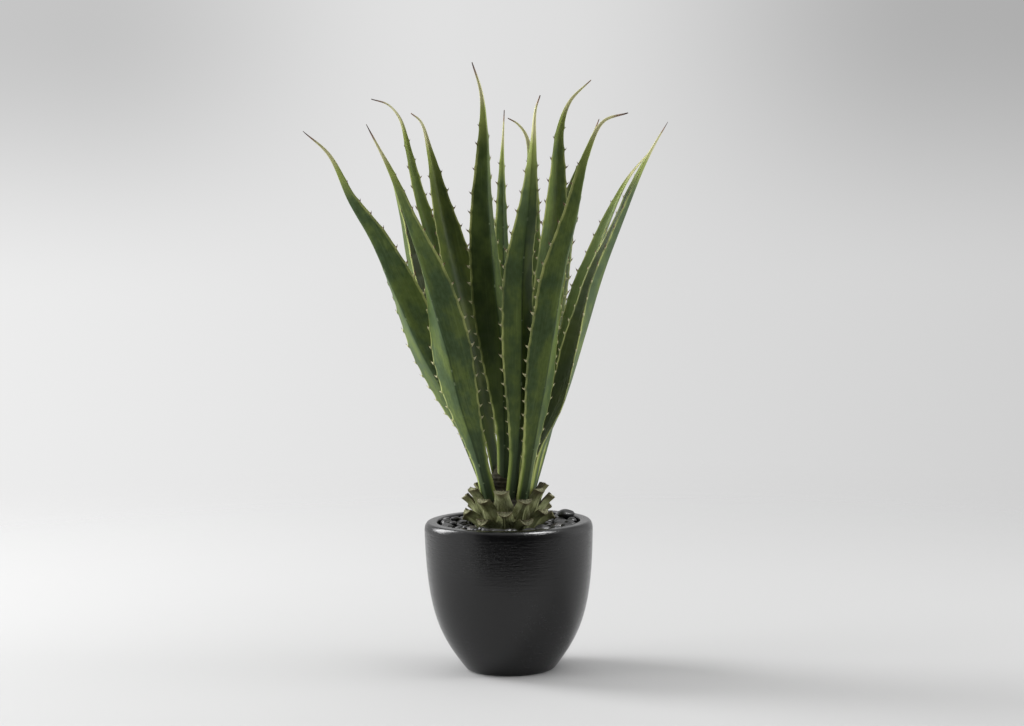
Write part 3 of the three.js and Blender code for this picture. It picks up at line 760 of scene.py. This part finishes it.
class Graph:
    """Short names for the shader nodes that the looks are mixed from."""

    def __init__(self, tree):
        self.tree = tree

    def node(self, kind, inputs=(), **settings):
        made = self.tree.nodes.new("ShaderNode" + kind)
        for name, value in settings.items():
            setattr(made, name, value)
        for socket, value in dict(inputs).items():
            self.put(made.inputs[socket], value)
        return made

    def put(self, socket, value):
        """Links another node's output to the socket, or sets its value."""
        if isinstance(value, bpy.types.NodeSocket):
            self.tree.links.new(value, socket)
        elif socket.type == "RGBA":
            socket.default_value = (*value, 1)
        else:
            socket.default_value = value

    def value(self, name):
        """A number stored on the mesh."""
        return self.node("Attribute", attribute_name=name).outputs["Fac"]

    def math(self, operation, a, b=0, c=0):
        return self.node("Math", {0: a, 1: b, 2: c}, operation=operation).outputs[0]

    def times(self, a, b, more=0):
        return self.math("MULTIPLY_ADD", a, b, more)

    def vector(self, x, y, z=0):
        return self.node("CombineXYZ", {0: x, 1: y, 2: z}).outputs[0]

    def place(self):
        """The point's place in the object's own frame, in metres."""
        return self.node("TexCoord").outputs["Object"]

    def stretched(self, at, x, y, z):
        return self.node("VectorMath", {0: at, 1: (x, y, z)}, operation="MULTIPLY").outputs[0]

    def noise(self, at, scale, detail, roughness):
        sockets = {"Vector": at, "Scale": scale, "Detail": detail, "Roughness": roughness}
        return self.node("TexNoise", sockets).outputs["Fac"]

    def ramp(self, value, low, high, to_low=0, to_high=1):
        """value between low and high, eased to run between to_low and to_high."""
        sockets = {"Value": value, "From Min": low, "From Max": high, "To Min": to_low, "To Max": to_high}
        return self.node("MapRange", sockets, interpolation_type="SMOOTHSTEP").outputs[0]

    def mix(self, factor, a, b):
        made = self.node("Mix", data_type="RGBA", clamp_factor=True)
        for socket, value in ((0, factor), (6, a), (7, b)):
            self.put(made.inputs[socket], value)
        return made.outputs[2]

    def layers(self, colour, *layers):
        """The colour under (mask, tint) layers, each as strong as its mask is high."""
        for mask, tint in layers:
            colour = self.mix(mask, colour, tint)
        return colour


class Paint(Graph):
    """A material with one main shader."""

    def __init__(self, name, shine):
        self.material = bpy.data.materials.new(name)
        self.material.use_nodes = True
        super().__init__(self.material.node_tree)
        self.shader = self.tree.nodes["Principled BSDF"]
        self.set("Specular IOR Level", shine)

    def set(self, socket, value):
        self.put(self.shader.inputs[socket], value)

    def finish(self, colour, roughness, relief, strength, depth):
        """The material with its colour, its roughness, and a relief of a depth in metres."""
        sockets = {"Height": relief, "Strength": strength, "Distance": depth}
        self.set("Base Color", colour)
        self.set("Roughness", roughness)
        self.set("Normal", self.node("Bump", sockets).outputs[0])
        return self.material


def leaf_material():
    """Waxy green with yellow margins and teeth, and a pale end that turns into a brown spine."""
    paint = Paint("agave_leaf", 0.2)
    across, along = paint.value("across"), paint.value("along")
    seed = paint.times(paint.value("tone"), 7)
    cloud = paint.noise(paint.vector(paint.times(across, 2.2), along, seed), 16, 3, 0.55)
    fleck = paint.noise(paint.vector(paint.times(across, 2.5), along, seed), 90, 4, 0.6)
    streak = paint.noise(paint.vector(across, paint.times(along, 0.015), seed), 900, 3, 0.6)
    fibre = paint.noise(paint.vector(across, paint.times(along, 0.03), seed), 260, 3, 0.6)
    colour = leaf_green(paint, cloud, fleck, streak, fibre)
    colour = leaf_keel(paint, colour, across, along, seed)
    colour = leaf_margin(paint, colour, fleck, cloud)
    colour = tooth_colour(paint, leaf_end(paint, colour, cloud))
    ridges = paint.times(streak, 0.6, fibre)
    strength = paint.ramp(paint.value("share"), 0.7, 0.86, 0.3, 0)
    return paint.finish(colour, paint.ramp(fleck, 0.3, 0.75, 0.42, 0.62), ridges, strength, 0.0006)


def leaf_green(paint, cloud, fleck, streak, fibre):
    """Between the margins: clouded green, yellower on the inner face, under a mottled grey waxy coat;
    with painted light and shade on some inner faces, painted shade at the foot, and a painted glow
    along the margins near the foot.
    """
    share, outer = paint.value("share"), paint.value("outer")
    green = paint.mix(paint.ramp(cloud, 0.34, 0.66), (0.035, 0.058, 0.011), (0.085, 0.125, 0.027))
    inside = paint.mix(paint.ramp(cloud, 0.3, 0.7), (0.042, 0.062, 0.009), (0.11, 0.138, 0.024))
    waxed = paint.mix(paint.ramp(cloud, 0.42, 0.64), (0.095, 0.15, 0.066), (0.17, 0.23, 0.06))
    # The grey waxy coat, as strong as each leaf's value. That value also paints whole leaves lighter
    # where it is high (painted light) and darker where it is low (painted shade).
    wax_and_painted_light = paint.times(paint.value("bloom"), paint.ramp(fleck, 0.3, 0.7, 0.45, 1))
    # On the inner face only: painted light where this is over 0, painted shade where it is under 0.
    pale = paint.times(paint.math("SUBTRACT", 1, outer), paint.value("inner"))
    # Painted shade: darker towards the leaf's foot, among the crowded bases.
    foot = paint.ramp(share, 0.02, 0.24, 0.85, 0)
    # Painted glow: lighter yellow-green along the margins near the leaf's foot.
    painted_glow = paint.times(paint.ramp(share, 0.02, 0.25, 0.9, 0),
                       paint.ramp(paint.value("rim"), 0, 0.006, 1, 0))
    return paint.layers(
        paint.mix(outer, inside, green),
        (wax_and_painted_light, waxed),
        # Painted light, then painted shade, on inner faces.
        (paint.times(pale, 0.85), (0.24, 0.32, 0.1)),
        (paint.times(pale, -0.85), (0.024, 0.036, 0.005)),
        (paint.ramp(streak, 0.35, 0.7, 0, 0.25), (0.03, 0.055, 0.012)),
        (paint.ramp(fibre, 0.55, 0.8, 0, 0.28), (0.2, 0.26, 0.1)),
        # Painted shade at the foot, then the painted glow along its margins.
        (foot, (0.034, 0.052, 0.026)),
        (painted_glow, (0.26, 0.36, 0.05)),
    )


def leaf_keel(paint, colour, across, along, seed):
    """A thin dark line along the keel, with a pale knot here and there."""
    near = paint.ramp(paint.math("ABSOLUTE", across), 0.0005, 0.0022, 1, 0)
    near = paint.times(near, paint.ramp(paint.value("share"), 0.6, 0.8, 1, 0))
    near = paint.times(near, paint.value("outer"))
    knots = paint.ramp(paint.noise(paint.vector(seed, along), 75, 2, 0.5), 0.6, 0.66)
    return paint.layers(colour, (paint.times(near, 0.6), (0.025, 0.045, 0.018)),
                        (paint.times(near, knots), (0.15, 0.2, 0.1)))


def leaf_margin(paint, colour, fleck, cloud):
    """A narrow yellow band along both margins, of uneven width and strength."""
    wander = paint.times(fleck, 0.0014, 0.0002)
    edge = paint.ramp(paint.math("SUBTRACT", paint.value("rim"), wander), 0.0002, 0.002)
    strength = paint.ramp(cloud, 0.36, 0.64, 0.3, 0.9)
    strength = paint.times(strength, paint.ramp(paint.value("share"), 0.76, 0.86, 1, 0))
    strength = paint.times(strength, paint.math("SUBTRACT", 1, edge))
    return paint.mix(strength, colour, (0.43, 0.47, 0.16))


def leaf_end(paint, colour, cloud):
    """The tip: yellow-green, then cream, then pinkish, and a brown spine at last."""
    at = paint.times(cloud, 0.03, paint.value("share"))
    spine = paint.times(paint.value("thorn"), 0.025, at)
    return paint.layers(
        colour,
        (paint.ramp(at, 0.8, 0.91), (0.3, 0.36, 0.09)),
        (paint.ramp(at, 0.89, 0.945), (0.6, 0.58, 0.3)),
        (paint.ramp(spine, 0.995, 1.015), (0.3, 0.2, 0.14)),
        (paint.ramp(spine, 1.015, 1.03), (0.075, 0.04, 0.03)),
    )


def tooth_colour(paint, colour):
    """Cream teeth with brown points, browner towards the leaf's tip."""
    tooth = paint.value("tooth")
    brown_from = paint.ramp(paint.value("share"), 0.35, 0.75, 0.7, 0.15)
    brown = paint.ramp(paint.math("SUBTRACT", tooth, brown_from), 0, 0.2)
    thorn = paint.layers(colour, (paint.ramp(tooth, 0, 0.3), (0.5, 0.48, 0.27)),
                         (brown, (0.13, 0.07, 0.04)))
    return paint.mix(paint.math("GREATER_THAN", tooth, 0.001), colour, thorn)


def pot_material():
    """Black satin lacquer with faint brush lines, stronger higher up, and dull specks."""
    paint = Paint("pot_lacquer", 0.5)
    at = paint.place()
    lines = paint.noise(paint.stretched(at, 1, 1, 30), 14, 4, 0.6)
    brush = paint.noise(paint.stretched(at, 1, 1, 3.5), 95, 4, 0.65)
    speck = paint.noise(at, 320, 3, 0.6)
    cloud = paint.noise(at, 9, 3, 0.5)
    dull = paint.times(paint.ramp(cloud, 0.45, 0.7), paint.ramp(speck, 0.5, 0.7))
    colour = paint.mix(paint.times(dull, 0.5), (0.004, 0.004, 0.0043), (0.03, 0.03, 0.032))
    rough = paint.times(paint.ramp(lines, 0.35, 0.7), 0.08, 0.17)
    rough = paint.times(dull, 0.12, rough)
    height = paint.node("SeparateXYZ", {0: at}).outputs["Z"]
    brushed = paint.times(brush, paint.ramp(height, 0.12, 0.25, 0.3, 1.5))
    relief = paint.math("ADD", brushed, paint.times(speck, 0.3, lines))
    return paint.finish(colour, rough, relief, 0.35, 0.0007)


def stone_material():
    """Dark worn river stone, each one a little different."""
    paint = Paint("river_stone", 0.5)
    tone, grit = paint.value("tone"), paint.value("grit")
    at = paint.place()
    grain = paint.noise(at, 420, 4, 0.65)
    cloud = paint.noise(at, 60, 3, 0.5)
    grey = paint.mix(paint.ramp(tone, 0.2, 0.9), (0.014, 0.014, 0.015), (0.055, 0.054, 0.056))
    brown = paint.mix(paint.ramp(tone, 0.62, 0.66), grey, (0.05, 0.038, 0.03))
    grey = paint.mix(paint.ramp(tone, 0.76, 0.8), brown, grey)
    colour = paint.layers(
        grey,
        (paint.ramp(grain, 0.45, 0.75, 0, 0.6), (0.09, 0.09, 0.09)),
        (paint.ramp(cloud, 0.3, 0.7, 0, 0.5), (0.012, 0.012, 0.012)),
        (paint.times(grit, 0.5), (0.02, 0.018, 0.015)),
    )
    rough = paint.times(grit, 0.25, paint.ramp(grain, 0.3, 0.8, 0.28, 0.5))
    return paint.finish(colour, rough, grain, 0.3, 0.0006)


def bark_material():
    """Dry sage-green leaf bases, fibrous and brown at their edges, on a dark woody core."""
    paint = Paint("dry_leaf_base", 0.25)
    u, s = paint.value("u"), paint.value("s")
    seed = paint.times(paint.value("tone"), 9)
    at = paint.place()
    cloud = paint.noise(at, 55, 3, 0.55)
    speck = paint.noise(at, 420, 3, 0.6)
    fibre = paint.noise(paint.vector(paint.times(s, 1.6), paint.times(u, 0.5), seed), 13, 4, 0.65)
    striped = paint.mix(paint.ramp(fibre, 0.42, 0.58), (0.04, 0.028, 0.015), (0.2, 0.18, 0.1))
    face = paint.mix(paint.ramp(speck, 0.35, 0.7), (0.17, 0.17, 0.09), (0.33, 0.33, 0.2))
    wood = paint.mix(paint.ramp(cloud, 0.35, 0.7), (0.018, 0.015, 0.008), (0.05, 0.045, 0.022))
    colour = paint.layers(striped, (paint.value("outer"), dry_sage(paint, u, cloud, fibre)),
                          (paint.ramp(paint.value("cut"), 0.3, 0.8), face), (paint.value("heart"), wood))
    relief = paint.times(speck, 0.4, fibre)
    return paint.finish(colour, paint.ramp(speck, 0.3, 0.7, 0.72, 0.9), relief, 0.5, 0.0008)


def dry_sage(paint, u, cloud, fibre):
    """The outer face of a leaf base: clouded, with pale and brown fibres, browner at both ends."""
    neck = paint.ramp(paint.times(fibre, 0.5, u), 0.98, 1.3, 0, 0.75)
    return paint.layers(
        paint.mix(paint.ramp(cloud, 0.35, 0.65), (0.16, 0.175, 0.07), (0.3, 0.33, 0.16)),
        (paint.ramp(fibre, 0.5, 0.72, 0, 0.8), (0.46, 0.46, 0.28)),
        (paint.ramp(fibre, 0.48, 0.28, 0, 0.8), (0.085, 0.07, 0.035)),
        (paint.ramp(u, 0, 0.35, 0.4, 0), (0.09, 0.08, 0.045)),
        (neck, (0.1, 0.075, 0.04)),
    )


def soil_material():
    """Dark crumbly potting mix."""
    paint = Paint("potting_mix", 0.2)
    at = paint.place()
    crumb = paint.noise(at, 180, 5, 0.65)
    colour = paint.mix(paint.ramp(crumb, 0.35, 0.7), (0.012, 0.009, 0.006), (0.05, 0.036, 0.024))
    return paint.finish(colour, paint.ramp(crumb, 0.3, 0.7, 0.88, 1), crumb, 0.8, 0.002)


# -------- stage

# The camera that was fitted to the pot's rim and foot: metres, degrees and pixels.
CAMERA_PLACE = Vector((0.0107, -4.2, 0.87))
CAMERA_PITCH = -4.35
CAMERA_ROLL = -0.9
FOCAL_PIXELS = 2360
PICTURE_WIDTH = 1024
SENSOR = 36
# Brightness of the backdrop at the left and at the right of the view.
BACKDROP = (0.862, 0.618)
PLANT_MIDDLE = (0, 0, 0.5)
FLOOR_HALF = 9
FLOOR_GREY = 0.59


def make_camera():
    """The camera, placed and turned as the numbers above say."""
    data = bpy.data.cameras.new("camera")
    data.sensor_width = SENSOR
    data.lens = FOCAL_PIXELS / PICTURE_WIDTH * SENSOR
    camera = bpy.data.objects.new("camera", data)
    bpy.context.scene.collection.objects.link(camera)
    turn = (Matrix.Rotation(radians(90) + radians(CAMERA_PITCH), 4, "X")
            @ Matrix.Rotation(radians(CAMERA_ROLL), 4, "Z"))
    camera.matrix_world = Matrix.Translation(CAMERA_PLACE) @ turn
    bpy.context.scene.camera = camera


def softbox(name, place, size, power, only_gloss=False, no_gloss=False):
    """An unseen rectangular light that faces the middle of the plant."""
    light = bpy.data.lights.new(name, "AREA")
    light.shape = "RECTANGLE"
    light.size, light.size_y = size
    light.energy = power
    lamp = bpy.data.objects.new(name, light)
    lamp.location = place
    lamp.rotation_euler = (Vector(PLANT_MIDDLE) - Vector(place)).to_track_quat("-Z", "Y").to_euler()
    lamp.visible_camera = False
    lamp.visible_diffuse = not only_gloss
    lamp.visible_glossy = not no_gloss
    bpy.context.scene.collection.objects.link(lamp)


def backdrop(graph, direction):
    """Brightness behind the plant: falling from left to right, and towards both upper corners."""
    level = graph.node("MapRange", {"Value": direction["X"], "From Min": -0.25, "From Max": 0.25,
                                    "To Min": BACKDROP[0], "To Max": BACKDROP[1]}).outputs[0]
    high = graph.ramp(direction["Z"], -0.05, 0.07)
    aside = graph.ramp(graph.math("ABSOLUTE", direction["X"]), 0.02, 0.18, 0, 0.33)
    return graph.times(level, graph.math("SUBTRACT", 1, graph.times(high, aside)))


def make_world():
    """Pale surroundings as the camera sees them, and a softly graded studio as the plant does."""
    world = bpy.data.worlds.new("studio")
    world.use_nodes = True
    bpy.context.scene.world = world
    graph = Graph(world.node_tree)
    direction = graph.node("SeparateXYZ", {0: graph.node("TexCoord").outputs["Generated"]}).outputs
    behind = graph.ramp(direction["Y"], -0.1, 0.8, 0.02, 0.6)
    right = graph.times(graph.ramp(direction["X"], 0.45, 0.9),
                        graph.ramp(direction["Y"], -0.5, 0.1, 0.25, 1))
    left = graph.ramp(direction["X"], -0.5, -0.9, 0, 0.9)
    around = graph.math("MAXIMUM", behind, graph.math("MAXIMUM", left, right))
    light = graph.math("ADD", around, graph.ramp(direction["Z"], 0.5, 0.95, 0, 0.8))
    seen = graph.node("LightPath").outputs["Is Camera Ray"]
    shown = backdrop(graph, direction)
    strength = graph.node("Mix", {0: seen, 2: light, 3: shown}, data_type="FLOAT").outputs[0]
    shader = world.node_tree.nodes["Background"].inputs
    graph.put(shader["Color"], (1, 1, 1))
    graph.put(shader["Strength"], strength)


def make_floor():
    """A pale floor that fades out into the pale surroundings."""
    mesh = bpy.data.meshes.new("floor")
    corners = [(x * FLOOR_HALF, y * FLOOR_HALF, 0) for x, y in ((-1, -1), (1, -1), (1, 1), (-1, 1))]
    mesh.from_pydata(corners, [], [(0, 1, 2, 3)])
    paint = Paint("pale_floor", 0)
    paint.set("Roughness", 0.9)
    paint.set("Base Color", (FLOOR_GREY, FLOOR_GREY, FLOOR_GREY))
    at = paint.place()
    far = paint.node("VectorMath", {0: at}, operation="LENGTH").outputs["Value"]
    ahead = paint.node("SeparateXYZ", {0: at}).outputs["Y"]
    lit = paint.ramp(ahead, -1, -0.55)
    seen = paint.node("LightPath").outputs["Is Camera Ray"]
    # Behind the plant the floor lights it, but in front of it only the camera sees the floor.
    paint.set("Alpha", paint.times(paint.ramp(far, 1, 3.2, 1, 0),
                                   paint.math("MAXIMUM", seen, lit)))
    mesh.materials.append(paint.material)
    floor = bpy.data.objects.new("floor", mesh)
    bpy.context.scene.collection.objects.link(floor)


def make_lights():
    """Soft light from the left, a little from the right, and gloss for the pot."""
    softbox("key_left", (-4.4, 1.9, 3), (2.2, 3.4), 260)
    softbox("fill_right", (2.3, -2, 4.4), (2.2, 2.2), 25)
    softbox("side_left", (-4, -0.6, 0.8), (2, 2), 80, no_gloss=True)
    softbox("side_right", (4, -0.4, 0.8), (2, 2), 80, no_gloss=True)
    softbox("gloss_right", (2.2, -1.4, 3.6), (1.6, 1.6), 210, only_gloss=True)
    bpy.context.scene.view_settings.view_transform = "Standard"


def main():
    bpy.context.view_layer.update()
    make_camera()
    make_floor()
    make_world()
    make_lights()
    leaf_paint = leaf_material()
    for number, leaf in enumerate(LEAVES, 1):
        leaf_piece(number, leaf, leaf_paint)
    pot_piece(pot_material())
    stones_piece(stone_material())
    trunk_piece(bark_material())
    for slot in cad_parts["soil"].material_slots:
        slot.material = soil_material()


main()
